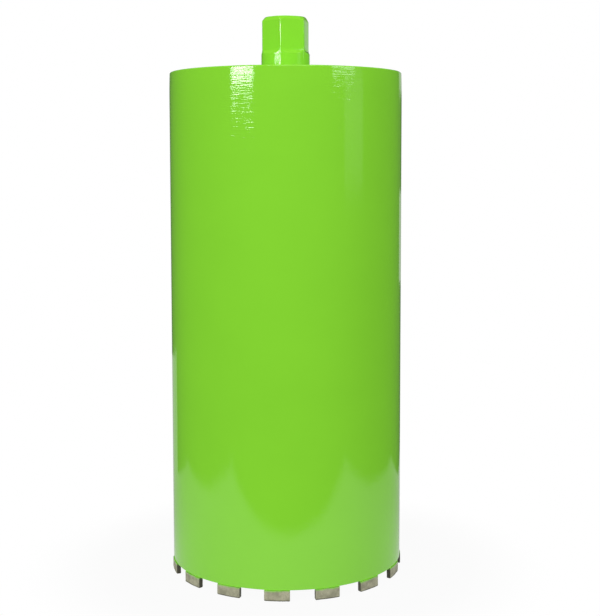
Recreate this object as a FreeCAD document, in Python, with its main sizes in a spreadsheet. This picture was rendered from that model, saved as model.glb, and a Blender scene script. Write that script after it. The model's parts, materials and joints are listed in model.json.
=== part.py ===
import FreeCAD, Part
import Sketcher
import math
import operator
import os

# Diamond core bit: a steel barrel with cutting segments on its lower rim, closed at the top by an end
# plate that carries a threaded hub with spanner flats.
# Millimetres, +Z up. The origin is on the axis, in the plane of the cutting faces.

# The driving dimensions. Each name is the alias of one cell of the sheet.
SIZES = {
    # barrel
    "barrel_diameter": 223.0,
    "barrel_wall": 2.5,
    "barrel_length": 470.0,
    "barrel_rim_radius": 1.2,
    # cutting segments
    "segment_count": 15,
    "segment_span": 24.0,
    "segment_height": 10.5,
    "segment_proud_outside": 1.0,
    "segment_proud_inside": 1.0,
    "segment_edge_radius": 1.2,
    "segment_first_angle": 1.4,
    # end plate
    "plate_thickness": 10.0,
    "plate_clearance": 0.1,
    "plate_weld_leg": 4.0,
    # bore of the hub
    "thread_diameter": 31.75,
    "thread_depth": 42.0,
    "thread_lead_in": 1.5,
    "passage_diameter": 24.0,
    # hub: a round bar round the thread, with flats milled into it
    "hub_wall": 7.375,
    "hub_height": 53.0,
    "hub_collar_height": 17.1,
    "hub_weld_leg": 6.0,
    "flat_depth": 2.75,
    "flat_first_angle": 48.6,
    "flat_runout_radius": 5.0,
    "flat_chamfer_width": 1.5,
    "flat_chamfer_height": 4.0,
    # spigot that centres the hub in the end plate
    "spigot_diameter": 38.0,
    "spigot_clearance": 0.1,
}

FLAT_COUNT = 6
FULL_TURN = 360.0
# How far a cutter runs past the metal that it cuts.
CUTTER_OVERRUN = 5.0
# Two lengths closer than this are the same.
CLOSE = 1e-6

OPERATIONS = {"+": operator.add, "-": operator.sub, "*": operator.mul, "/": operator.truediv}


class Size:
    """A number together with the sheet formula that gives it."""

    def __init__(self, number, formula):
        self.number = number
        self.formula = formula

    def combined(self, sign, other):
        if not isinstance(other, Size):
            other = Size(other, repr(other))
        number = OPERATIONS[sign](self.number, other.number)
        return Size(number, f"({self.formula} {sign} {other.formula})")

    def __add__(self, other):
        return self.combined("+", other)

    def __sub__(self, other):
        return self.combined("-", other)

    def __mul__(self, other):
        return self.combined("*", other)

    def __truediv__(self, other):
        return self.combined("/", other)


def size(name):
    """One driving dimension."""
    return Size(float(SIZES[name]), "sizes." + name)


ZERO = Size(0.0, "0")


def chord_angle(chord, radius):
    """The angle in degrees that a chord spans on a circle."""
    sine = chord / 2 / radius
    return Size(2 * math.degrees(math.asin(sine.number)), f"2 * asin({sine.formula})")


# Radii and heights that more than one piece uses.
BARREL_RADIUS = size("barrel_diameter") / 2
BORE_RADIUS = BARREL_RADIUS - size("barrel_wall")
BARREL_TOP = size("segment_height") + size("barrel_length")
PLATE_RADIUS = BORE_RADIUS - size("plate_clearance")
THREAD_RADIUS = size("thread_diameter") / 2
HUB_RADIUS = THREAD_RADIUS + size("hub_wall")
SPIGOT_RADIUS = size("spigot_diameter") / 2


def make_sheet(doc):
    """The sheet with one cell for each driving dimension."""
    sheet = doc.addObject("Spreadsheet::Sheet", "sizes")
    for row, (alias, number) in enumerate(SIZES.items(), start=1):
        cell = f"A{row}"
        sheet.set(cell, str(number))
        sheet.setAlias(cell, alias)
    return sheet


def make_body(doc, name, height, angle=ZERO):
    """An empty sub-part, raised to its height and turned about the axis."""
    body = doc.addObject("PartDesign::Body", name)
    body.Label = name
    turn = FreeCAD.Rotation(FreeCAD.Vector(0, 0, 1), angle.number)
    body.Placement = FreeCAD.Placement(FreeCAD.Vector(0, 0, height.number), turn)
    if height is not ZERO:
        body.setExpression("Placement.Base.z", height.formula)
    if angle is not ZERO:
        body.setExpression("Placement.Rotation.Angle", angle.formula)
    return body


def origin_feature(body, role):
    """A plane or axis of the body's own origin."""
    return next(item for item in body.Origin.OriginFeatures if item.Role == role)


def make_sketch(body, name, plane):
    sketch = body.newObject("Sketcher::SketchObject", f"{body.Name}_{name}")
    sketch.AttachmentSupport = [(origin_feature(body, plane), "")]
    sketch.MapMode = "FlatFace"
    return sketch


def bind(sketch, kind, geometry, point, length):
    """Hold one coordinate of a point at a length from the sheet."""
    if length is ZERO:
        axis = -2 if kind == "DistanceX" else -1
        sketch.addConstraint(Sketcher.Constraint("PointOnObject", geometry, point, axis))
        return
    index = sketch.addConstraint(Sketcher.Constraint(kind, geometry, point, length.number))
    sketch.setExpression(f"Constraints[{index}]", length.formula)


def bind_point(sketch, geometry, point, place):
    bind(sketch, "DistanceX", geometry, point, place[0])
    bind(sketch, "DistanceY", geometry, point, place[1])


def to_vector(place):
    return FreeCAD.Vector(place[0].number, place[1].number, 0)


def join_ends(sketch, count):
    """Join the end of each line to the start of the next, and the last to the first."""
    for line in range(count):
        sketch.addConstraint(Sketcher.Constraint("Coincident", line, 2, (line + 1) % count, 1))


def draw_outline(sketch, places):
    """A closed outline of straight lines through the places."""
    following = places[1:] + places[:1]
    for start, end in zip(places, following):
        sketch.addGeometry(Part.LineSegment(to_vector(start), to_vector(end)), False)
    join_ends(sketch, len(places))
    for line, place in enumerate(places):
        bind_point(sketch, line, 1, place)


def draw_circle(sketch, radius):
    """A circle about the origin."""
    circle = Part.Circle(FreeCAD.Vector(0, 0, 0), FreeCAD.Vector(0, 0, 1), radius.number)
    geometry = sketch.addGeometry(circle, False)
    sketch.addConstraint(Sketcher.Constraint("Coincident", geometry, 3, -1, 1))
    index = sketch.addConstraint(Sketcher.Constraint("Radius", geometry, radius.number))
    sketch.setExpression(f"Constraints[{index}]", radius.formula)


def pad_ring(body, outer, inner, height):
    """A ring about the axis, from the body's own base upwards."""
    sketch = make_sketch(body, "ring", "XY_Plane")
    draw_circle(sketch, outer)
    draw_circle(sketch, inner)
    pad = body.newObject("PartDesign::Pad", f"{body.Name}_pad")
    pad.Profile = sketch
    pad.Length = height.number
    pad.setExpression("Length", height.formula)
    return pad


def revolve(body, places, angle=None):
    """Turn an outline of radius and height about the axis, all round or by an angle about +X."""
    sketch = make_sketch(body, "section", "XZ_Plane")
    draw_outline(sketch, places)
    turned = body.newObject("PartDesign::Revolution", f"{body.Name}_turned")
    turned.Profile = sketch
    turned.ReferenceAxis = (sketch, ["V_Axis"])
    turned.Angle = FULL_TURN
    if angle is not None:
        turned.Midplane = True
        turned.Angle = angle.number
        turned.setExpression("Angle", angle.formula)
    return turned


def edges_where(shape, test):
    """The names of the edges that pass a test."""
    return [f"Edge{number}" for number, edge in enumerate(shape.Edges, start=1) if test(edge)]


def at_height(edge, height):
    return all(abs(vertex.Z - height) < CLOSE for vertex in edge.Vertexes)


def dress(body, kind, base, edges, bound, length):
    """Fillet or chamfer some edges of a feature."""
    feature = body.newObject(f"PartDesign::{kind}", f"{body.Name}_{kind.lower()}")
    feature.Base = (base, edges)
    setattr(feature, bound, length.number)
    feature.setExpression(bound, length.formula)
    return feature


def make_barrel(doc):
    """The tube, with a rounded outer edge at its top."""
    body = make_body(doc, "barrel", size("segment_height"))
    length = size("barrel_length")
    pad = pad_ring(body, BARREL_RADIUS, BORE_RADIUS, length)
    doc.recompute()

    def is_rim(edge):
        return at_height(edge, length.number) and edge.Curve.Radius > BORE_RADIUS.number + CLOSE

    rim = edges_where(pad.Shape, is_rim)
    dress(body, "Fillet", pad, rim, "Radius", size("barrel_rim_radius"))


def make_segment(doc, index):
    """One cutting segment under the barrel's lower rim, with its cutting edges rounded."""
    pitch = Size(FULL_TURN, repr(FULL_TURN)) / size("segment_count")
    angle = size("segment_first_angle") + pitch * index
    body = make_body(doc, f"segment_{index + 1:02d}", ZERO, angle)
    inner = BORE_RADIUS - size("segment_proud_inside")
    outer = BARREL_RADIUS + size("segment_proud_outside")
    top = size("segment_height")
    section = [(inner, ZERO), (outer, ZERO), (outer, top), (inner, top)]
    turned = revolve(body, section, chord_angle(size("segment_span"), outer))
    doc.recompute()

    def is_cutting_edge(edge):
        return at_height(edge, 0.0)

    edges = edges_where(turned.Shape, is_cutting_edge)
    dress(body, "Fillet", turned, edges, "Radius", size("segment_edge_radius"))


def make_end_plate(doc):
    """The disc that closes the barrel, bored for the hub's spigot and chamfered for its weld."""
    thickness = size("plate_thickness")
    body = make_body(doc, "end_plate", BARREL_TOP - thickness)
    hole = SPIGOT_RADIUS + size("spigot_clearance")
    pad = pad_ring(body, PLATE_RADIUS, hole, thickness)
    doc.recompute()

    def is_top_rim(edge):
        return at_height(edge, thickness.number) and edge.Curve.Radius > hole.number + CLOSE

    rim = edges_where(pad.Shape, is_top_rim)
    dress(body, "Chamfer", pad, rim, "Size", size("plate_weld_leg"))


def make_plate_weld(doc):
    """The weld that fills the groove between end plate and barrel."""
    leg = size("plate_weld_leg")
    body = make_body(doc, "plate_weld", BARREL_TOP - leg)
    groove = [(PLATE_RADIUS, ZERO), (BORE_RADIUS, ZERO), (BORE_RADIUS, leg), (PLATE_RADIUS - leg, leg)]
    revolve(body, groove)


def make_hub_blank(body):
    """The turned hub: spigot, round bar, threaded bore with its lead-in, and water passage."""
    height = size("hub_height")
    spigot_end = ZERO - size("plate_thickness")
    lead_in = size("thread_lead_in")
    thread_end = height - size("thread_depth")
    passage = size("passage_diameter") / 2
    revolve(body, [
        (passage, spigot_end),
        (SPIGOT_RADIUS, spigot_end),
        (SPIGOT_RADIUS, ZERO),
        (HUB_RADIUS, ZERO),
        (HUB_RADIUS, height),
        (THREAD_RADIUS + lead_in, height),
        (THREAD_RADIUS, height - lead_in),
        (THREAD_RADIUS, thread_end),
        (passage, thread_end),
    ])


def draw_flat_cut(sketch):
    """The metal that one spanner flat takes away: rounded run-out, flat and sloping chamfer."""
    flat = HUB_RADIUS - size("flat_depth")
    runout = size("flat_runout_radius")
    floor = size("hub_collar_height")
    height = size("hub_height")
    chamfer = (flat - size("flat_chamfer_width"), height)
    outside = HUB_RADIUS + runout + CUTTER_OVERRUN
    above = height + CUTTER_OVERRUN
    arc_start = (flat, floor + runout)
    arc_end = (flat + runout, floor)
    places = [
        arc_start,
        arc_end,
        (outside, floor),
        (outside, above),
        (chamfer[0], above),
        chamfer,
        (flat, height - size("flat_chamfer_height")),
    ]
    centre = (flat + runout, floor + runout)
    circle = Part.Circle(to_vector(centre), FreeCAD.Vector(0, 0, 1), runout.number)
    sketch.addGeometry(Part.ArcOfCircle(circle, math.pi, 1.5 * math.pi), False)
    for start, end in zip(places[1:], places[2:] + places[:1]):
        sketch.addGeometry(Part.LineSegment(to_vector(start), to_vector(end)), False)
    join_ends(sketch, len(places))
    bind_point(sketch, 0, 3, centre)
    bind(sketch, "DistanceY", 0, 1, arc_start[1])
    for line, place in enumerate(places[1:], start=1):
        bind_point(sketch, line, 1, place)


def make_hub(doc):
    """The hub, with six flats milled down to its collar."""
    body = make_body(doc, "hub", BARREL_TOP, size("flat_first_angle"))
    make_hub_blank(body)
    sketch = make_sketch(body, "flat", "XZ_Plane")
    draw_flat_cut(sketch)
    flat = body.newObject("PartDesign::Pocket", "hub_flat_cut")
    flat.Profile = sketch
    flat.Midplane = True
    width = HUB_RADIUS * 2
    flat.Length = width.number
    flat.setExpression("Length", width.formula)
    doc.recompute()
    flats = body.newObject("PartDesign::PolarPattern", "hub_flats")
    flats.Originals = [flat]
    flats.Axis = (origin_feature(body, "Z_Axis"), [""])
    flats.Angle = FULL_TURN
    flats.Occurrences = FLAT_COUNT
    body.Tip = flats


def make_hub_weld(doc):
    """The fillet weld round the foot of the hub."""
    leg = size("hub_weld_leg")
    body = make_body(doc, "hub_weld", BARREL_TOP)
    revolve(body, [(HUB_RADIUS, ZERO), (HUB_RADIUS + leg, ZERO), (HUB_RADIUS, leg)])


def check(doc):
    """Stop if any object failed or any sub-part has no sound solid."""
    for item in doc.Objects:
        if "Invalid" in item.State or "Error" in item.State:
            raise RuntimeError(f"{item.Label} failed: {item.State}")
    for body in doc.findObjects("PartDesign::Body"):
        if body.Shape.isNull() or not body.Shape.isValid() or len(body.Shape.Solids) != 1:
            raise RuntimeError(f"{body.Label} has no sound solid")


def export(doc):
    """Write one file for each sub-part."""
    os.makedirs("parts", exist_ok=True)
    for body in doc.findObjects("PartDesign::Body"):
        body.Shape.exportStep(f"parts/{body.Label}.step")


def main():
    doc = FreeCAD.newDocument("core_bit")
    make_sheet(doc)
    doc.recompute()
    make_barrel(doc)
    make_end_plate(doc)
    make_hub(doc)
    for index in range(int(SIZES["segment_count"])):
        make_segment(doc, index)
    make_hub_weld(doc)
    make_plate_weld(doc)
    doc.recompute()
    check(doc)
    export(doc)


main()
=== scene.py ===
import json
import math

import bmesh
import bpy
from mathutils import Euler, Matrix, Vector


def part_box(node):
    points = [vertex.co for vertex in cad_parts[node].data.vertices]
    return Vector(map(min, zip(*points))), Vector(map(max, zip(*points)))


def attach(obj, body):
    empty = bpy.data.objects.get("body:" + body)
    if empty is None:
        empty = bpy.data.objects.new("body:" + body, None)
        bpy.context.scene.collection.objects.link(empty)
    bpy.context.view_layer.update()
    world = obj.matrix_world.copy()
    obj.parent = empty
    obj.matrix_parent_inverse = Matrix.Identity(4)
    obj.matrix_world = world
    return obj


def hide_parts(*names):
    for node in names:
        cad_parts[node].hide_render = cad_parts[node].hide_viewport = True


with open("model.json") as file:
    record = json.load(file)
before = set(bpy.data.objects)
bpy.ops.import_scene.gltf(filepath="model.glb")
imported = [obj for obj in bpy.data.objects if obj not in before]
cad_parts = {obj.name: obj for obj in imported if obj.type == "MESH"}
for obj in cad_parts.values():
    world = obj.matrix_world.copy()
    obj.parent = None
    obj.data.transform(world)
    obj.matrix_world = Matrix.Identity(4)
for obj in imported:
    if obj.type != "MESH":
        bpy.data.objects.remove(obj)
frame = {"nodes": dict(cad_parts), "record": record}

bl_info = {
    "name": "Diamond core bit",
    "version": (1, 0, 0),
    "blender": (4, 5, 0),
    "location": "3D View > Sidebar > Core bit",
    "description": "Looks of a core bit: painted barrel and hub, sintered segments, welds, thread and studio",
    "category": "Object",
}

# Metres, +Z up, in the frame of the solids: the axis stands at the origin and the cutting faces at height 0.
MM = 0.001
UP = Vector((0, 0, 1))
WHITE = (1, 1, 1, 1)
BODY = "root"
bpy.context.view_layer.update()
# Points closer than this are one, and faces that meet at less than this angle lie in one plane.
MERGE_DISTANCE = 0.001 * MM
FLAT_ANGLE = math.radians(0.5)

SEGMENTS = sorted(name for name in frame["nodes"] if name.startswith("segment_"))
BARREL_LOW, BARREL_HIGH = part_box("barrel")
BARREL_RADIUS = BARREL_HIGH.x
BORE_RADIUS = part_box("plate_weld")[1].x
PLATE_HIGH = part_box("end_plate")[1]
HUB_LOW, HUB_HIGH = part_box("hub")
WELD_LOW, WELD_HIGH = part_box("hub_weld")
SEGMENT_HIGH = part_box(SEGMENTS[0])[1]
THREAD_MOUNT = next(m for m in frame["record"]["mounts"] if m["name"] == "spindle_thread")
THREAD_RADIUS = THREAD_MOUNT["dims"]["r_mm"] * MM
THREAD_LENGTH = THREAD_MOUNT["dims"]["length_mm"] * MM
THREAD_MIDDLE = THREAD_MOUNT["pos_m"][2]

# The photograph's camera, fitted to the rims of the barrel.
PHOTO_LONG_SIDE = 616
CAMERA_PLACE = Vector((0.0, -1.16970, 0.39669))
CAMERA_PITCH = math.radians(4.6109)
CAMERA_YAW = math.radians(0.6636)
CAMERA_ROLL = math.radians(-0.0933)
CAMERA_FOCUS = 1203.74
CAMERA_SENSOR = 36.0
CAMERA_SHIFT = -0.0812


def length_property(name, description, default):
    return bpy.props.FloatProperty(
        name=name, description=description, default=default, min=0.0, precision=5,
        subtype="DISTANCE", unit="LENGTH",
    )


def colour_property(name, description, default):
    return bpy.props.FloatVectorProperty(
        name=name, description=description, default=default, min=0.0, max=1.0, size=3, subtype="COLOR",
    )


def factor_property(name, description, default):
    return bpy.props.FloatProperty(
        name=name, description=description, default=default, min=0.0, max=1.0, subtype="FACTOR",
    )


def strength_property(name, description, default):
    return bpy.props.FloatProperty(name=name, description=description, default=default, min=0.0)


class PaintSettings(bpy.types.PropertyGroup):
    colour: colour_property("Paint", "Colour of the gloss paint", (0.232, 0.655, 0.030))
    thin: colour_property("Thin paint", "Colour where the coat is thin", (0.198, 0.575, 0.026))
    roughness: factor_property("Roughness", "Roughness of the painted surface", 0.07)
    stroke_length: length_property("Stroke length", "Length of a turning stroke", 16 * MM)
    stroke_width: length_property("Stroke width", "Width of a turning stroke", 0.85 * MM)
    stroke_depth: length_property("Stroke depth", "Depth of the strokes at the barrel's top", 0.078 * MM)
    stroke_share: factor_property("Stroke share", "Share of that depth away from the barrel's top", 0.4)
    peel_size: length_property("Peel size", "Size of the ripples of the coat", 2.6 * MM)
    peel_depth: length_property("Peel depth", "Depth of the ripples of the coat", 0.008 * MM)
    overspray: length_property("Overspray", "How far the paint reaches down the segments", 0.9 * MM)


class BarrelSettings(bpy.types.PropertyGroup):
    rim_radius: length_property("Rim radius", "Rounding of the upper outer edge", 1.2 * MM)
    edge_radius: length_property("Edge radius", "Rounding of the other edges", 0.25 * MM)
    neck: length_property("Neck", "How far the end plate's weld has drawn the barrel's top in", 0.45 * MM)
    neck_length: length_property("Neck length", "Height over which the barrel is drawn in", 25 * MM)
    steps: bpy.props.IntProperty(name="Steps", description="Faces round the barrel", default=360, min=32)


class HubSettings(bpy.types.PropertyGroup):
    edge_radius: length_property("Edge radius", "Rounding of the edges, where there is room", 0.3 * MM)
    top_radius: length_property("Top radius", "Radius of the top face inside the turned chamfer", 19.6 * MM)
    thread_pitch: length_property("Pitch", "Rise of the thread in one turn", 25.4 / 7 * MM)
    thread_depth: length_property("Thread depth", "Height of the thread's ridge", 1.95 * MM)
    crest: length_property("Crest", "Width of the ridge's crest", 0.5 * MM)
    thread_steps: bpy.props.IntProperty(name="Steps", description="Faces in one turn", default=72, min=12)


class WeldSettings(bpy.types.PropertyGroup):
    ripple_pitch: length_property("Ripple pitch", "Distance from one ripple to the next", 2.1 * MM)
    ripple_height: length_property("Ripple height", "Height of a ripple", 0.32 * MM)
    lean: length_property("Lean", "How far a ripple's crown runs ahead of its ends", 1.3 * MM)
    bulge: length_property("Bulge", "How far behind the corner the bead's curve is centred", 3.0 * MM)


class SegmentSettings(bpy.types.PropertyGroup):
    metal: colour_property("Metal", "Colour of the sintered metal", (0.43, 0.42, 0.29))
    dull: colour_property("Dull metal", "Colour of its darker patches", (0.27, 0.265, 0.18))
    grit: colour_property("Grit", "Colour of the diamond grains", (0.55, 0.52, 0.30))
    voxel: length_property("Voxel", "Size of the mesh's faces", 0.4 * MM)
    unevenness: length_property("Unevenness", "Depth of the pressed surface's waves", 0.30 * MM)
    roughness: length_property("Roughness", "Depth of the pits between the grains", 0.16 * MM)
    braze_radius: length_property("Braze radius", "Size of the braze fillet over a segment", 0.5 * MM)


class StageSettings(bpy.types.PropertyGroup):
    table_far: factor_property("Far table", "Brightness of the table's far side in reflections", 0.33)
    shadow: factor_property("Shadow", "Share of the table's own shading that shows", 0.05)
    above: strength_property("Above", "Strength of the even light from above", 0.77)
    below: strength_property("Below", "Strength of the even light from below", 0.08)
    room: strength_property("Room", "Brightness of the studio in reflections", 0.08)
    key: strength_property("Key", "Brightness of the left softbox", 20.0)
    fill: strength_property("Fill", "Brightness of the right softbox", 6.0)
    side: strength_property("Side", "Brightness of the wall under the right softbox", 0.55)
    front: strength_property("Front", "Brightness of the softbox over the camera", 3.7)
    cards: strength_property("Cards", "Brightness of the cards behind, which only reflections show", 0.55)


SETTINGS = {
    "core_bit_paint": PaintSettings,
    "core_bit_barrel": BarrelSettings,
    "core_bit_hub": HubSettings,
    "core_bit_welds": WeldSettings,
    "core_bit_segments": SegmentSettings,
    "core_bit_stage": StageSettings,
}


def settings(name):
    """One of the add-on's groups of settings."""
    return getattr(bpy.context.scene, "core_bit_" + name)


# Selecting and shaping


def deselect_all():
    """Leave edit mode and select nothing."""
    if bpy.context.mode != "OBJECT":
        bpy.ops.object.mode_set(mode="OBJECT")
    bpy.ops.object.select_all(action="DESELECT")


def pick(piece):
    """Make a piece the only selected object."""
    deselect_all()
    piece.select_set(True)
    bpy.context.view_layer.objects.active = piece


def named(name):
    """The object that an operator has just added, under its own name."""
    piece = bpy.context.object
    piece.name = piece.data.name = name
    return piece


def apply_place(piece):
    """Put the place, turn and size of a piece into its mesh."""
    pick(piece)
    bpy.ops.object.transform_apply(location=True, rotation=True, scale=True)


def apply_modifier(piece, kind, **options):
    """Add a modifier with its options, and apply it."""
    pick(piece)
    modifier = piece.modifiers.new(kind.title(), kind)
    for option, value in options.items():
        setattr(modifier, option, value)
    bpy.ops.object.modifier_apply(modifier=modifier.name)


def select_parts(piece, kind, test):
    """In edit mode, select the vertices, edges or faces that pass a test."""
    bpy.ops.mesh.select_all(action="DESELECT")
    mesh = bmesh.from_edit_mesh(piece.data)
    for part in getattr(mesh, kind):
        if test(part):
            part.select_set(True)
    mesh.select_flush_mode()
    bmesh.update_edit_mesh(piece.data)


def close_shell(piece):
    """Merge the seam of a closed shell and point its faces outwards."""
    pick(piece)
    bpy.ops.object.mode_set(mode="EDIT")
    bpy.ops.mesh.select_all(action="SELECT")
    bpy.ops.mesh.remove_doubles(threshold=MERGE_DISTANCE)
    bpy.ops.mesh.normals_make_consistent(inside=False)
    bpy.ops.object.mode_set(mode="OBJECT")


def merge_faces(piece, distance=MERGE_DISTANCE):
    """Merge the points that lie together and the faces that lie in one plane."""
    pick(piece)
    bpy.ops.object.mode_set(mode="EDIT")
    bpy.ops.mesh.select_all(action="SELECT")
    bpy.ops.mesh.remove_doubles(threshold=distance)
    bpy.ops.mesh.dissolve_limited(angle_limit=FLAT_ANGLE)
    bpy.ops.object.mode_set(mode="OBJECT")


def keep_outline():
    """In edit mode, delete a section's face and select the outline that is left."""
    bpy.ops.mesh.select_all(action="SELECT")
    bpy.ops.mesh.delete(type="ONLY_FACE")
    bpy.ops.mesh.select_all(action="SELECT")


def spin_section(piece, steps, angle=math.tau):
    """Turn the outline of a flat section about the axis, and close the ends of a part turn."""
    pick(piece)
    bpy.ops.object.mode_set(mode="EDIT")
    keep_outline()
    bpy.ops.mesh.spin(
        steps=steps, angle=angle, center=(0, 0, 0), axis=UP, use_auto_merge=(angle == math.tau)
    )
    if angle != math.tau:
        bpy.ops.mesh.select_all(action="SELECT")
        bpy.ops.mesh.fill_holes(sides=0)
    close_shell(piece)


def smooth(piece, angle=math.radians(30), weighted=True):
    """Shade a piece smooth, with its flat faces kept flat."""
    pick(piece)
    bpy.ops.object.shade_smooth_by_angle(angle=angle)
    if weighted:
        apply_modifier(piece, "WEIGHTED_NORMAL", mode="FACE_AREA", keep_sharp=True)


def paint_faces(piece, index, test):
    """Give the faces that pass a test another of the piece's material slots."""
    for face in piece.data.polygons:
        if test(face):
            face.material_index = index


def dress(piece, slot, *finishes):
    """Give a piece its finishes, and let it ride on the part."""
    piece.data.materials.clear()
    for finish in finishes:
        piece.data.materials.append(finish)
    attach(piece, BODY)


def own_copy(source, name):
    """A copy of an object with its own mesh."""
    deselect_all()
    piece = bpy.data.objects.new(name, source.data.copy())
    piece.data.name = name
    bpy.context.scene.collection.objects.link(piece)
    pick(piece)
    return piece


def turned_copy(source, name, angle):
    """A copy with its own mesh, turned about the axis."""
    piece = own_copy(source, name)
    piece.rotation_euler.z = angle
    apply_place(piece)
    return piece


def merged_copy(node, name):
    """A copy of a solid's mesh, with its triangles merged into whole faces."""
    piece = own_copy(frame["nodes"][node], name)
    bpy.ops.mesh.customdata_custom_splitnormals_clear()
    merge_faces(piece)
    return piece


def bevel_edges(piece, width, segments=3):
    """Round the edges at which the faces meet at more than 40 degrees."""
    apply_modifier(
        piece, "BEVEL", width=width, segments=segments, limit_method="ANGLE",
        angle_limit=math.radians(40), use_clamp_overlap=True, harden_normals=False,
    )


def roughen(piece, name, size, depth):
    """Press a piece's surface in by up to a depth, in soft clouds of a size."""
    clouds = bpy.data.textures.get(name) or bpy.data.textures.new(name, "CLOUDS")
    clouds.noise_scale = size
    clouds.noise_depth = 2
    apply_modifier(
        piece, "DISPLACE", texture=clouds, texture_coords="GLOBAL", strength=depth, mid_level=1.0
    )


def radius_of(point):
    """Distance of a point from the axis."""
    return math.hypot(point.x, point.y)


def add_section_plane(name, low, high):
    """A flat rectangle in the XZ plane, from its lower inner to its upper outer corner."""
    deselect_all()
    middle = ((low[0] + high[0]) / 2, 0.0, (low[1] + high[1]) / 2)
    bpy.ops.mesh.primitive_plane_add(size=1.0, location=middle, rotation=(math.pi / 2, 0, 0))
    piece = named(name)
    piece.scale = (high[0] - low[0], high[1] - low[1], 1.0)
    apply_place(piece)
    return piece


# Finishes


class Shading:
    """A node tree, with short ways to add its nodes and join them."""

    # The Mix node's sockets for colours
    MIX_A, MIX_B, MIX_RESULT = 6, 7, 2

    def __init__(self, owner):
        owner.use_nodes = True
        self.owner = owner
        self.tree = owner.node_tree
        self.tree.nodes.clear()

    def add(self, kind, inputs=None, **options):
        """A node with its options set, and values or sockets on its inputs."""
        node = self.tree.nodes.new("ShaderNode" + kind)
        for option, value in options.items():
            setattr(node, option, value)
        for socket, value in (inputs or {}).items():
            if isinstance(value, bpy.types.NodeSocket):
                self.tree.links.new(value, node.inputs[socket])
            else:
                node.inputs[socket].default_value = value
        return node

    def math(self, operation, *values):
        """The result of an operation on values or sockets."""
        return self.add("Math", dict(enumerate(values)), operation=operation).outputs[0]

    def position(self):
        """A point's place in the part's own frame."""
        return self.add("TexCoord").outputs["Object"]

    def parts(self, vector):
        """The three parts of a vector."""
        return self.add("SeparateXYZ", {0: vector}).outputs

    def stretched(self, vector, sizes):
        """A vector divided by a size for each axis."""
        return self.add("VectorMath", {0: vector, 1: sizes}, operation="DIVIDE").outputs[0]

    def noise(self, vector, size, detail=2.0):
        """Noise from 0 to 1, with features of a size in metres."""
        inputs = {"Vector": vector, "Scale": 1.0 / size, "Detail": detail}
        return self.add("TexNoise", inputs).outputs[0]

    def fade(self, value, start, end):
        """0 below start and 1 above end, with a smooth step between."""
        inputs = {"Value": value, "From Min": start, "From Max": end}
        return self.add("MapRange", inputs, interpolation_type="SMOOTHSTEP").outputs[0]

    def spread(self, value, low, high):
        """A value from 0 to 1 spread from low to high."""
        return self.add("MapRange", {"Value": value, "To Min": low, "To Max": high}).outputs[0]

    def blend(self, factor, first, second):
        """A colour between two colours."""
        inputs = {0: factor, self.MIX_A: opaque(first), self.MIX_B: opaque(second)}
        return self.add("Mix", inputs, data_type="RGBA").outputs[self.MIX_RESULT]

    def bump(self, height, depth, normal=None):
        """A normal bent by a height from 0 to 1, on top of another bump if one is given."""
        inputs = {"Height": height, "Distance": depth, "Strength": 1.0}
        if normal is not None:
            inputs["Normal"] = normal
        return self.add("Bump", inputs).outputs[0]

    def strokes(self, position, length, width):
        """Fine uneven strokes round the axis: they follow the height on a wall and the radius on a face."""
        x, y, z = self.parts(position)
        radius = self.math("SQRT", self.math("ADD", self.math("MULTIPLY", x, x), self.math("MULTIPLY", y, y)))
        across = self.math("ADD", radius, z)
        vector = self.add("CombineXYZ", {0: x, 1: y, 2: across}).outputs[0]
        return self.noise(self.stretched(vector, (length, length, width)), 1.0, detail=1.5)

    def surface(self, **inputs):
        """The material's shader."""
        return self.add("BsdfPrincipled", {name.replace("_", " "): value for name, value in inputs.items()})

    def finish(self, shader, output="OutputMaterial"):
        """Join the shader to the output, and return the material or world."""
        self.add(output, {0: shader.outputs[0]})
        return self.owner


def opaque(colour):
    """A colour property as a socket's colour; a socket stays as it is."""
    return colour if isinstance(colour, bpy.types.NodeSocket) else (*colour, 1.0)


def finish_of(name, maker):
    """A material, made the first time that a piece asks for it."""
    known = bpy.data.materials.get(name)
    return known or maker(Shading(bpy.data.materials.new(name)))


def make_paint(shading):
    """Gloss lime paint over turned steel, whose strokes are deepest where the barrel's top was dressed."""
    paint = settings("paint")
    thin_share, roughness_range = 0.45, 0.015
    dressed_start, dressed_full, dressed_end = 110 * MM, 40 * MM, 1 * MM
    position = shading.position()
    coat = shading.noise(position, 45 * MM, detail=3.0)
    colour = shading.blend(shading.spread(coat, 0.0, thin_share), paint.colour, paint.thin)
    grain = shading.noise(position, 0.9 * MM)
    roughness = shading.spread(grain, paint.roughness - roughness_range, paint.roughness + roughness_range)
    strokes = shading.strokes(position, paint.stroke_length, paint.stroke_width)
    height = shading.parts(position)[2]
    below = shading.fade(height, BARREL_HIGH.z - dressed_start, BARREL_HIGH.z - dressed_full)
    above = shading.fade(height, BARREL_HIGH.z, BARREL_HIGH.z + dressed_end)
    dressed = shading.spread(shading.math("SUBTRACT", below, above), paint.stroke_share, 1.0)
    normal = shading.bump(shading.math("MULTIPLY", strokes, dressed), paint.stroke_depth)
    normal = shading.bump(shading.noise(position, paint.peel_size), paint.peel_depth, normal)
    return shading.finish(
        shading.surface(Base_Color=colour, Roughness=roughness, Normal=normal, IOR=1.5)
    )


def make_bare_steel(shading):
    """Machined steel with turning marks and a film of oil."""
    position = shading.position()
    marks = shading.strokes(position, 20 * MM, 0.35 * MM)
    stain = shading.noise(position, 7 * MM, detail=4.0)
    colour = shading.blend(stain, (0.50, 0.49, 0.46), (0.27, 0.25, 0.22))
    roughness = shading.spread(stain, 0.22, 0.46)
    normal = shading.bump(marks, 0.02 * MM)
    return shading.finish(
        shading.surface(Base_Color=colour, Metallic=0.9, Roughness=roughness, Normal=normal)
    )


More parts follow.
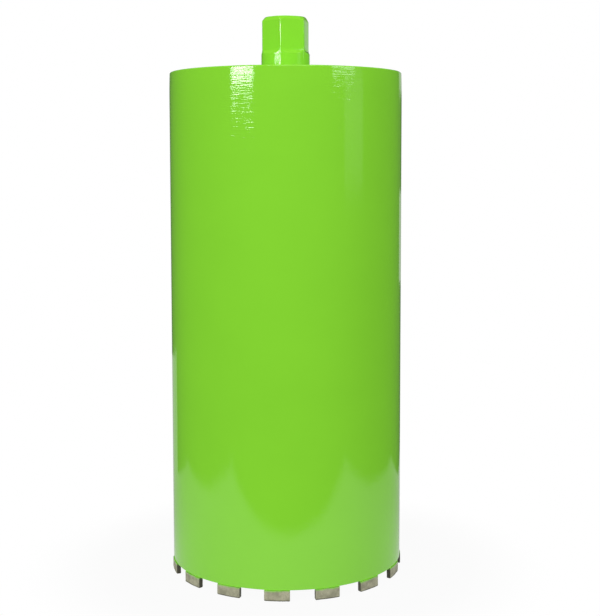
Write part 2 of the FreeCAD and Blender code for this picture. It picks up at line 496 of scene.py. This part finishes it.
def make_tube_inside(shading):
    """Drawn tube with mill scale inside, and paint mist over its lower end."""
    mist_full, mist_end, mist_drift = 14 * MM, 34 * MM, 9 * MM
    position = shading.position()
    height = shading.parts(position)[2]
    draws = shading.noise(shading.stretched(position, (2 * MM, 2 * MM, 60 * MM)), 1.0, detail=4.0)
    scale = shading.noise(position, 5 * MM, detail=5.0)
    steel = shading.blend(draws, (0.42, 0.405, 0.38), (0.25, 0.24, 0.225))
    steel = shading.blend(shading.fade(scale, 0.45, 0.80), steel, (0.21, 0.175, 0.145))
    edge = shading.math("ADD", height, shading.spread(scale, -mist_drift, mist_drift))
    mist = shading.math("SUBTRACT", 1.0, shading.fade(edge, mist_full, mist_end))
    colour = shading.blend(mist, steel, settings("paint").thin)
    metallic = shading.spread(mist, 0.75, 0.0)
    normal = shading.bump(scale, 0.05 * MM, shading.bump(draws, 0.03 * MM))
    return shading.finish(
        shading.surface(Base_Color=colour, Metallic=metallic, Roughness=0.5, Normal=normal)
    )


def make_sinter(shading):
    """Sintered metal with diamond grit and paint mist over its top. Its ends and cutting face are darkened,
    partly as painted shade and partly as a darker tone of the metal, and its lowest band is darker too.
    """
    segments, paint = settings("segments"), settings("paint")
    # Colour and share of the darkening on the ends and cutting face: partly painted shade, partly a darker
    # tone of the metal.
    dark_tone_and_shade_colour, dark_tone_and_shade_share, grit_share = (0.05, 0.048, 0.03), 0.9, 0.3
    # Heights over which the lowest band of the segment turns darker towards the cutting face.
    dark_band_full, dark_band_end = 0.7 * MM, 2.0 * MM
    mist_drift, mist_speckle, mist_width = 1.6 * MM, 0.9 * MM, 1.5 * MM
    position = shading.position()
    height = shading.parts(position)[2]
    patches = shading.noise(position, 6 * MM, detail=3.0)
    grains = shading.noise(position, 0.7 * MM, detail=3.0)
    cells = shading.add("TexVoronoi", {"Vector": position, "Scale": 1 / (0.9 * MM)}).outputs["Distance"]
    crystals = shading.math("SUBTRACT", 1.0, shading.fade(cells, 0.10, 0.18))
    colour = shading.blend(shading.fade(patches, 0.35, 0.70), segments.metal, segments.dull)
    colour = shading.blend(shading.fade(grains, 0.52, 0.72), colour, segments.dull)
    colour = shading.blend(shading.math("MULTIPLY", crystals, grit_share), colour, segments.grit)
    # Darker towards the cutting face, over the lowest band.
    worn = shading.math("SUBTRACT", 1.0, shading.fade(height, dark_band_full, dark_band_end))
    # The ends and the cutting face, whose faces don't point out from the axis, get painted shade together
    # with a darker tone of the metal.
    levelled = shading.stretched(position, (1, 1, 1e9))
    outwards = shading.add("VectorMath", {0: levelled}, operation="NORMALIZE")
    facing = shading.add(
        "VectorMath", {0: outwards.outputs[0], 1: shading.add("TexCoord").outputs["Normal"]},
        operation="DOT_PRODUCT",
    ).outputs["Value"]
    ends = shading.math("SUBTRACT", 1.0, shading.fade(shading.math("ABSOLUTE", facing), 0.25, 0.75))
    # Painted shade and darker tone, nearly black, on the ends, the cutting face and the lowest band.
    dark_tone_and_shade = shading.math("MULTIPLY", shading.math("MAXIMUM", worn, ends), dark_tone_and_shade_share)
    colour = shading.blend(dark_tone_and_shade, colour, dark_tone_and_shade_colour)
    drift = shading.spread(shading.noise(position, 9 * MM), -mist_drift, mist_drift)
    speckle = shading.spread(grains, -mist_speckle, mist_speckle)
    level = shading.math("ADD", height, shading.math("ADD", drift, speckle))
    start = SEGMENT_HIGH.z - paint.overspray
    mist = shading.fade(level, start - mist_width, start + mist_width)
    colour = shading.blend(mist, colour, paint.thin)
    metallic = shading.spread(mist, 0.2, 0.0)
    roughness = shading.spread(mist, 0.55, 0.16)
    normal = shading.bump(grains, 0.06 * MM, shading.bump(crystals, 0.05 * MM))
    return shading.finish(
        shading.surface(Base_Color=colour, Metallic=metallic, Roughness=roughness, Normal=normal)
    )


def make_braze(shading):
    """Braze fillet: silvery-brown metal, nearly all under paint mist."""
    paint = settings("paint")
    position = shading.position()
    patches = shading.noise(position, 3 * MM, detail=3.0)
    mist = shading.fade(patches, 0.24, 0.36)
    colour = shading.blend(mist, (0.42, 0.38, 0.25), paint.colour)
    metallic = shading.spread(mist, 0.7, 0.0)
    normal = shading.bump(shading.noise(position, 0.8 * MM), 0.06 * MM)
    return shading.finish(
        shading.surface(Base_Color=colour, Metallic=metallic, Roughness=0.3, Normal=normal)
    )


def paint():
    return finish_of("gloss_paint", make_paint)


def bare_steel():
    return finish_of("bare_steel", make_bare_steel)


def tube_inside():
    return finish_of("tube_inside", make_tube_inside)


def sinter():
    return finish_of("sintered_metal", make_sinter)


def braze():
    return finish_of("braze", make_braze)


# Pieces


class CORE_BIT_OT_barrel(bpy.types.Operator):
    """Turn the barrel's section about the axis and round its edges"""

    bl_idname = "core_bit.barrel"
    bl_label = "Barrel"

    def execute(self, context):
        sizes = settings("barrel")
        piece = add_section_plane(
            "barrel_shell", (BORE_RADIUS, BARREL_LOW.z), (BARREL_RADIUS, BARREL_HIGH.z)
        )
        middle = (BARREL_LOW.z + BARREL_HIGH.z) / 2
        bpy.ops.object.mode_set(mode="EDIT")
        select_parts(piece, "verts", lambda v: v.co.z > middle and v.co.x > BORE_RADIUS + 1 * MM)
        bpy.ops.mesh.bevel(affect="VERTICES", offset=sizes.rim_radius, segments=6)
        select_parts(piece, "verts", lambda v: v.co.z < middle)
        bpy.ops.mesh.bevel(affect="VERTICES", offset=sizes.edge_radius, segments=3)
        spin_section(piece, sizes.steps)
        draw_in(piece)
        smooth(piece)
        dress(piece, "paint", paint(), tube_inside())
        paint_faces(piece, 1, lambda f: radius_of(f.center) < BORE_RADIUS + 0.1 * MM)
        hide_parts("barrel")
        return {"FINISHED"}


def draw_in(piece):
    """Draw the barrel's outside in towards its top, as the end plate's weld does."""
    sizes = settings("barrel")
    cuts, outside = 10, BORE_RADIUS + 0.5 * MM
    bpy.ops.object.mode_set(mode="EDIT")
    for cut in range(cuts):
        height = BARREL_HIGH.z - sizes.neck_length * (1 - cut / cuts)
        bpy.ops.mesh.select_all(action="SELECT")
        bpy.ops.mesh.bisect(plane_co=(0, 0, height), plane_no=UP)
    bpy.ops.object.mode_set(mode="OBJECT")
    for vertex in piece.data.vertices:
        radius = radius_of(vertex.co)
        share = max(0.0, 1 - (BARREL_HIGH.z - vertex.co.z) / sizes.neck_length)
        if radius > outside:
            vertex.co.xy *= 1 - sizes.neck * share ** 2 / radius


class CORE_BIT_OT_end_plate(bpy.types.Operator):
    """Dress the end plate: painted above, bare steel below"""

    bl_idname = "core_bit.end_plate"
    bl_label = "End plate"

    def execute(self, context):
        piece = merged_copy("end_plate", "end_plate_disc")
        bevel_edges(piece, width=0.2 * MM, segments=2)
        smooth(piece)
        dress(piece, "paint", paint(), bare_steel())
        paint_faces(piece, 1, lambda f: f.center.z < PLATE_HIGH.z - 5 * MM)
        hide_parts("end_plate")
        return {"FINISHED"}


class CORE_BIT_OT_hub(bpy.types.Operator):
    """Dress the hub: rounded painted edges, bare steel in its bore"""

    bl_idname = "core_bit.hub"
    bl_label = "Hub"

    def execute(self, context):
        piece = merged_copy("hub", "hub_shell")
        turn_chamfer(piece)
        bevel_edges(piece, width=settings("hub").edge_radius)
        smooth(piece)
        dress(piece, "paint", paint(), bare_steel())
        bore, under = THREAD_RADIUS + 0.1 * MM, PLATE_HIGH.z - 0.5 * MM

        def is_bare(face):
            corners = [piece.data.vertices[index].co for index in face.vertices]
            in_bore = all(radius_of(corner) < bore for corner in corners)
            return in_bore or all(corner.z < under for corner in corners)

        paint_faces(piece, 1, is_bare)
        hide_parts("hub")
        return {"FINISHED"}


def turn_chamfer(piece):
    """Turn the chamfer that trims the corners between the hub's flats at its top."""
    radius = WELD_HIGH.x
    height = 2 * (HUB_HIGH.z - HUB_LOW.z)
    chamfer = radius - settings("hub").top_radius
    # The cut leaves points that lie closer than this, which would hold the bevel back.
    sliver = 0.02 * MM
    deselect_all()
    bpy.ops.mesh.primitive_cylinder_add(
        vertices=180, radius=radius, depth=height, location=(0, 0, HUB_HIGH.z - height / 2)
    )
    lathe = named("turned_envelope")
    apply_place(lathe)
    bpy.ops.object.mode_set(mode="EDIT")
    select_parts(lathe, "edges", lambda e: all(v.co.z > HUB_HIGH.z - 1 * MM for v in e.verts))
    bpy.ops.mesh.bevel(affect="EDGES", offset=chamfer, segments=1, offset_type="OFFSET")
    bpy.ops.object.mode_set(mode="OBJECT")
    apply_modifier(piece, "BOOLEAN", operation="INTERSECT", object=lathe, solver="EXACT")
    bpy.data.objects.remove(lathe)
    merge_faces(piece, sliver)


class CORE_BIT_OT_thread(bpy.types.Operator):
    """Wind the spindle thread's ridge up the bore"""

    bl_idname = "core_bit.thread"
    bl_label = "Thread"

    def execute(self, context):
        sizes = settings("hub")
        flank_angle = math.radians(30)
        root = THREAD_RADIUS + 0.05 * MM
        crest = THREAD_RADIUS - sizes.thread_depth
        foot = sizes.crest / 2 + (root - crest) * math.tan(flank_angle)
        start = THREAD_MIDDLE - THREAD_LENGTH / 2 + foot
        turns = int((THREAD_LENGTH - 2 * foot) / sizes.thread_pitch)
        piece = add_section_plane("hub_thread", (crest, start - foot), (root, start + foot))
        bpy.ops.object.mode_set(mode="EDIT")
        select_parts(piece, "verts", lambda v: v.co.x < THREAD_RADIUS - sizes.thread_depth / 2)
        bpy.ops.transform.resize(
            value=(1, 1, sizes.crest / 2 / foot), center_override=(crest, 0, start)
        )
        keep_outline()
        bpy.ops.object.mode_set(mode="OBJECT")
        apply_modifier(
            piece, "SCREW", axis="Z", angle=math.tau, screw_offset=sizes.thread_pitch, iterations=turns,
            steps=sizes.thread_steps, render_steps=sizes.thread_steps, use_smooth_shade=False,
        )
        bpy.ops.object.mode_set(mode="EDIT")
        bpy.ops.mesh.select_all(action="SELECT")
        bpy.ops.mesh.fill_holes(sides=0)
        close_shell(piece)
        bevel_edges(piece, width=0.12 * MM, segments=2)
        smooth(piece)
        dress(piece, "bare_steel", bare_steel())
        return {"FINISHED"}


def add_bead(name, corner, legs, bulge):
    """Section of a weld bead in the corner between a wall and a floor. Its crown is part of a circle."""
    deselect_all()
    radius = math.hypot(legs[0] + bulge, bulge)
    centre = Vector((corner[0] - bulge * math.copysign(1, legs[0]), 0, corner[1] - bulge))
    bpy.ops.mesh.primitive_circle_add(
        vertices=96, radius=radius, fill_type="NGON", location=centre, rotation=(math.pi / 2, 0, 0)
    )
    piece = named(name)
    apply_place(piece)
    bpy.ops.object.mode_set(mode="EDIT")
    for normal in (Vector((math.copysign(1, legs[0]), 0, 0)), UP):
        bpy.ops.mesh.select_all(action="SELECT")
        bpy.ops.mesh.bisect(
            plane_co=(corner[0], 0, corner[1]), plane_no=normal, clear_inner=True,
            threshold=MERGE_DISTANCE,
        )
    bpy.ops.object.mode_set(mode="OBJECT")
    return piece


class CORE_BIT_OT_hub_weld(bpy.types.Operator):
    """Run the rippled weld bead round the foot of the hub"""

    bl_idname = "core_bit.hub_weld"
    bl_label = "Hub weld"

    def execute(self, context):
        sizes = settings("welds")
        leg = WELD_HIGH.z - WELD_LOW.z
        foot = WELD_HIGH.x - leg
        piece = add_bead("hub_weld_bead", (foot, WELD_LOW.z), (leg, leg), sizes.bulge)
        run_bead(piece, foot + leg / 2, Vector((foot, 0, WELD_LOW.z)), leg)
        dress(piece, "paint", paint())
        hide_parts("hub_weld")
        return {"FINISHED"}


def crown_share(out, up):
    """0 at a bead's toes and 1 on its crown, for a place so many legs out and up from the corner."""
    steepness = 3.0
    return min(1.0, steepness * max(min(out, up), 0.0))


def run_bead(piece, radius, corner, leg):
    """Run a bead's section round the axis in ripples, whose crowns lean forward."""
    sizes = settings("welds")
    ripples = round(math.tau * radius / sizes.ripple_pitch)
    steps_per_ripple = 6
    for vertex in piece.data.vertices:
        reached = min((vertex.co - corner).length / leg, 1.0)
        crown = crown_share((vertex.co.x - corner.x) / leg, (vertex.co.z - corner.z) / leg)
        vertex.co.y += sizes.lean * crown * reached
    spin_section(piece, ripples * steps_per_ripple)
    group = piece.vertex_groups.new(name="ripple")
    for vertex in piece.data.vertices:
        out, up = radius_of(vertex.co) - corner.x, vertex.co.z - corner.z
        crown = crown_share(out / leg, up / leg)
        turn = math.atan2(vertex.co.y, vertex.co.x) - sizes.lean * crown / radius
        wave = 0.5 + 0.5 * math.cos(math.tau * ((turn * ripples / math.tau) % 1.0))
        group.add([vertex.index], crown * wave, "REPLACE")
    apply_modifier(
        piece, "DISPLACE", strength=-sizes.ripple_height, mid_level=0.0, vertex_group="ripple"
    )
    smooth(piece, angle=math.radians(60), weighted=False)


class CORE_BIT_OT_plate_weld(bpy.types.Operator):
    """Run the flat weld that joins the end plate to the barrel"""

    bl_idname = "core_bit.plate_weld"
    bl_label = "Plate weld"

    def execute(self, context):
        low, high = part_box("plate_weld")
        width = high.z - low.z
        piece = add_section_plane(
            "plate_weld_bead", (BORE_RADIUS - width, low.z + width / 2), (BORE_RADIUS, high.z)
        )
        bpy.ops.object.mode_set(mode="EDIT")
        keep_outline()
        bpy.ops.mesh.subdivide(number_cuts=5)
        spin_section(piece, steps=720)
        roughen(piece, "weld_flow", size=2.4 * MM, depth=0.2 * MM)
        smooth(piece)
        dress(piece, "paint", paint())
        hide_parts("plate_weld")
        return {"FINISHED"}


class CORE_BIT_OT_segments(bpy.types.Operator):
    """Press the sintered segments: uneven faces, worn edges and pits"""

    bl_idname = "core_bit.segments"
    bl_label = "Segments"

    def execute(self, context):
        sizes = settings("segments")
        for node in SEGMENTS:
            piece = merged_copy(node, node + "_sinter")
            apply_modifier(piece, "REMESH", mode="VOXEL", voxel_size=sizes.voxel, use_smooth_shade=True)
            roughen(piece, "waves", size=3.5 * MM, depth=sizes.unevenness)
            roughen(piece, "pits", size=0.9 * MM, depth=sizes.roughness)
            dress(piece, "segment", sinter())
            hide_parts(node)
        return {"FINISHED"}


def reach(node):
    """The angle about the axis at which a node ends and the angle that it spans."""
    low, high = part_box(node)
    middle = math.atan2(low.y + high.y, low.x + high.x)
    points = [vertex.co for vertex in frame["nodes"][node].data.vertices]
    around = [math.remainder(math.atan2(point.y, point.x) - middle, math.tau) for point in points]
    return middle + max(around), max(around) - min(around)


class CORE_BIT_OT_braze(bpy.types.Operator):
    """Lay a braze fillet over each segment, outside and inside the barrel"""

    bl_idname = "core_bit.braze"
    bl_label = "Braze"

    def execute(self, context):
        size = settings("segments").braze_radius
        for side, corner in (("outer", BARREL_RADIUS), ("inner", BORE_RADIUS)):
            leg = math.copysign(size, corner - (BARREL_RADIUS + BORE_RADIUS) / 2)
            fillet = add_bead("fillet", (corner, SEGMENT_HIGH.z), (leg, size), 0.0)
            spin_section(fillet, steps=32, angle=reach(SEGMENTS[0])[1])
            for node in SEGMENTS:
                piece = turned_copy(fillet, f"{node}_{side}_braze", reach(node)[0])
                roughen(piece, "braze_flow", size=2.5 * MM, depth=0.5 * size)
                smooth(piece, angle=math.radians(50), weighted=False)
                dress(piece, "paint", braze())
            bpy.data.objects.remove(fillet)
        return {"FINISHED"}


# Outline of the white table, from its left corner behind the object towards the front and round.
TABLE_OUTLINE = (
    (-0.954, 1.063), (-0.337, 0.262), (-0.503, 0.145), (-0.425, -0.125), (-0.443, -0.374), (-0.200, -0.338),
    (-0.010, -0.305), (0.170, -0.319), (0.320, -0.342), (0.477, -0.345), (0.450, -0.092), (0.460, 0.250),
    (0.260, 0.295), (0.0, 1.4),
)
TABLE_GREY = (0.26, 0.26, 0.26, 1)
# The table's own shading fades out between these distances from the axis.
TABLE_SHADING = (0.16, 0.27)
# The table's reflection dims between these places on Y, from its front to its far side.
TABLE_DIMMING = (-0.18, 0.20)
# The even light changes between these heights of a direction, from below to above.
LIGHT_HORIZON = (-0.3, 0.3)
ROOM_RADIUS = 5.0


class CORE_BIT_OT_stage(bpy.types.Operator):
    """Set the table, studio, lamps and camera"""

    bl_idname = "core_bit.stage"
    bl_label = "Stage"

    def execute(self, context):
        make_table()
        make_world()
        make_room()
        add_card("right_card", azimuth=158.0, elevation=-7.0, distance=2.6, size=(0.62, 0.28))
        add_card("hub_card", azimuth=158.0, elevation=6.5, distance=2.6, size=(0.90, 0.34))
        make_lamps()
        make_camera()
        context.scene.view_settings.view_transform = "Standard"
        return {"FINISHED"}


def background_rays(shading, reflected=1.0):
    """1 for the rays that show the background: camera, transmission and, by a share, glossy."""
    rays = shading.add("LightPath").outputs
    glossy = shading.math("MULTIPLY", rays["Is Glossy Ray"], reflected)
    seen = shading.math("MAXIMUM", rays["Is Camera Ray"], glossy)
    return shading.math("MAXIMUM", seen, rays["Is Transmission Ray"])


def make_table():
    """A white table, whose own shading shows a little near the object."""
    sizes = settings("stage")
    deselect_all()
    bpy.ops.mesh.primitive_circle_add(vertices=len(TABLE_OUTLINE), fill_type="NGON")
    table = named("table")
    for vertex, place in zip(table.data.vertices, TABLE_OUTLINE):
        vertex.co = (*place, 0)
    shading = Shading(bpy.data.materials.new("white_table"))
    position = shading.position()
    distance = shading.add("VectorMath", {0: position}, operation="LENGTH").outputs["Value"]
    near = shading.math("SUBTRACT", 1.0, shading.fade(distance, *TABLE_SHADING))
    white = shading.math("SUBTRACT", 1.0, shading.math("MULTIPLY", near, sizes.shadow))
    own = shading.add("BsdfDiffuse", {"Color": TABLE_GREY})
    glow = shading.add("Emission", {"Color": WHITE, "Strength": 1.0})
    far = shading.fade(shading.parts(position)[1], *TABLE_DIMMING)
    dimmer = shading.math("SUBTRACT", 1.0, shading.math("MULTIPLY", far, 1.0 - sizes.table_far))
    share = shading.math("MULTIPLY", background_rays(shading, dimmer), white)
    lit = shading.add("MixShader", {0: share, 1: own.outputs[0], 2: glow.outputs[0]})
    below = shading.add("NewGeometry").outputs["Backfacing"]
    clear = shading.add("BsdfTransparent")
    table.data.materials.append(
        shading.finish(shading.add("MixShader", {0: below, 1: lit.outputs[0], 2: clear.outputs[0]}))
    )


def make_world():
    """White where it is seen, and an even grey light for the rest."""
    world = bpy.data.worlds.new("studio")
    bpy.context.scene.world = world
    shading = Shading(world)
    sizes = settings("stage")
    upwards = shading.parts(shading.add("TexCoord").outputs["Generated"])[2]
    even = shading.spread(shading.fade(upwards, *LIGHT_HORIZON), sizes.below, sizes.above)
    level = shading.math("MAXIMUM", background_rays(shading), even)
    shading.finish(shading.add("Background", {"Color": WHITE, "Strength": level}), "OutputWorld")


def make_glow(name, strength):
    """A material that only glows."""
    shading = Shading(bpy.data.materials.new(name))
    return shading.finish(shading.add("Emission", {"Color": WHITE, "Strength": strength}))


def make_room():
    """The darker studio round the table, which only reflections show."""
    deselect_all()
    bpy.ops.mesh.primitive_uv_sphere_add(segments=48, ring_count=24, radius=ROOM_RADIUS)
    room = named("studio_room")
    room.data.materials.append(make_glow("studio_room", settings("stage").room))
    only_reflected(room)


def add_card(name, azimuth, elevation, distance, size):
    """A card that only reflections show, placed as the softboxes are."""
    deselect_all()
    place, facing = studio_place(azimuth, elevation, distance)
    bpy.ops.mesh.primitive_plane_add(size=1.0, location=place, rotation=facing)
    card = named(name)
    card.scale = (*size, 1)
    apply_place(card)
    card.data.materials.append(make_glow(name, settings("stage").cards))
    only_reflected(card)


def only_reflected(piece):
    """Hide a piece of the stage from all rays but reflected ones."""
    for kind in ("camera", "diffuse", "transmission", "volume_scatter", "shadow"):
        setattr(piece, "visible_" + kind, False)


def studio_place(azimuth, elevation, distance):
    """Place and turn of a thing that faces the barrel's top.

    Azimuth 0 is the camera's side, and left of it is negative.
    """
    turn, rise = math.radians(azimuth), math.radians(elevation)
    aim = Vector((math.sin(turn) * math.cos(rise), -math.cos(turn) * math.cos(rise), math.sin(rise)))
    return Vector((0, 0, BARREL_HIGH.z)) + aim * distance, aim.to_track_quat("Z", "Y").to_euler()


def add_softbox(name, azimuth, elevation, distance, size, brightness):
    """A rectangular softbox that faces the barrel's top."""
    deselect_all()
    place, facing = studio_place(azimuth, elevation, distance)
    bpy.ops.object.light_add(type="AREA", location=place, rotation=facing)
    lamp = bpy.context.object
    lamp.name = lamp.data.name = name
    lamp.data.shape = "RECTANGLE"
    lamp.data.size, lamp.data.size_y = size
    lamp.data.energy = brightness * math.pi * size[0] * size[1]
    lamp.visible_camera = False


def make_lamps():
    """The three softboxes and the wall under the right one."""
    sizes = settings("stage")
    add_softbox(
        "key_softbox", azimuth=-41.6, elevation=10.3, distance=2.1, size=(0.80, 0.36), brightness=sizes.key
    )
    add_softbox(
        "fill_softbox", azimuth=57.0, elevation=16.3, distance=2.1, size=(0.90, 0.60), brightness=sizes.fill
    )
    add_softbox(
        "side_wall", azimuth=67.5, elevation=1.5, distance=2.1, size=(0.78, 0.40), brightness=sizes.side
    )
    add_softbox(
        "front_softbox", azimuth=6.0, elevation=38.0, distance=1.7, size=(1.2, 0.7), brightness=sizes.front
    )


def make_camera():
    """The photograph's camera."""
    deselect_all()
    turn = Euler((math.pi / 2 - CAMERA_PITCH, 0, -CAMERA_YAW)).to_quaternion()
    turn @= Euler((0, 0, CAMERA_ROLL)).to_quaternion()
    bpy.ops.object.camera_add(location=CAMERA_PLACE, rotation=turn.to_euler())
    camera = bpy.context.object
    camera.name = camera.data.name = "camera"
    camera.data.sensor_width = CAMERA_SENSOR
    camera.data.lens = CAMERA_FOCUS * CAMERA_SENSOR / PHOTO_LONG_SIDE
    camera.data.shift_y = CAMERA_SHIFT
    bpy.context.scene.camera = camera


PIECES = (
    CORE_BIT_OT_barrel,
    CORE_BIT_OT_end_plate,
    CORE_BIT_OT_hub,
    CORE_BIT_OT_thread,
    CORE_BIT_OT_hub_weld,
    CORE_BIT_OT_plate_weld,
    CORE_BIT_OT_segments,
    CORE_BIT_OT_braze,
    CORE_BIT_OT_stage,
)


class CORE_BIT_PT_sidebar(bpy.types.Panel):
    """The core bit's pieces and their settings"""

    bl_idname = "CORE_BIT_PT_sidebar"
    bl_label = "Core bit"
    bl_space_type = "VIEW_3D"
    bl_region_type = "UI"
    bl_category = "Core bit"

    def draw(self, context):
        for piece in PIECES:
            self.layout.operator(piece.bl_idname)
        for name, group in SETTINGS.items():
            box = self.layout.box()
            box.label(text=group.__name__.replace("Settings", ""))
            for entry in group.__annotations__:
                box.prop(getattr(context.scene, name), entry)


CLASSES = (*SETTINGS.values(), *PIECES, CORE_BIT_PT_sidebar)


def register():
    for item in CLASSES:
        bpy.utils.register_class(item)
    for name, group in SETTINGS.items():
        setattr(bpy.types.Scene, name, bpy.props.PointerProperty(type=group))


def unregister():
    for name in SETTINGS:
        delattr(bpy.types.Scene, name)
    for item in reversed(CLASSES):
        bpy.utils.unregister_class(item)


def main():
    register()
    bpy.ops.core_bit.barrel()
    bpy.ops.core_bit.end_plate()
    bpy.ops.core_bit.hub()
    bpy.ops.core_bit.thread()
    bpy.ops.core_bit.hub_weld()
    bpy.ops.core_bit.plate_weld()
    bpy.ops.core_bit.segments()
    bpy.ops.core_bit.braze()
    bpy.ops.core_bit.stage()


if __name__ == "__main__":
    main()
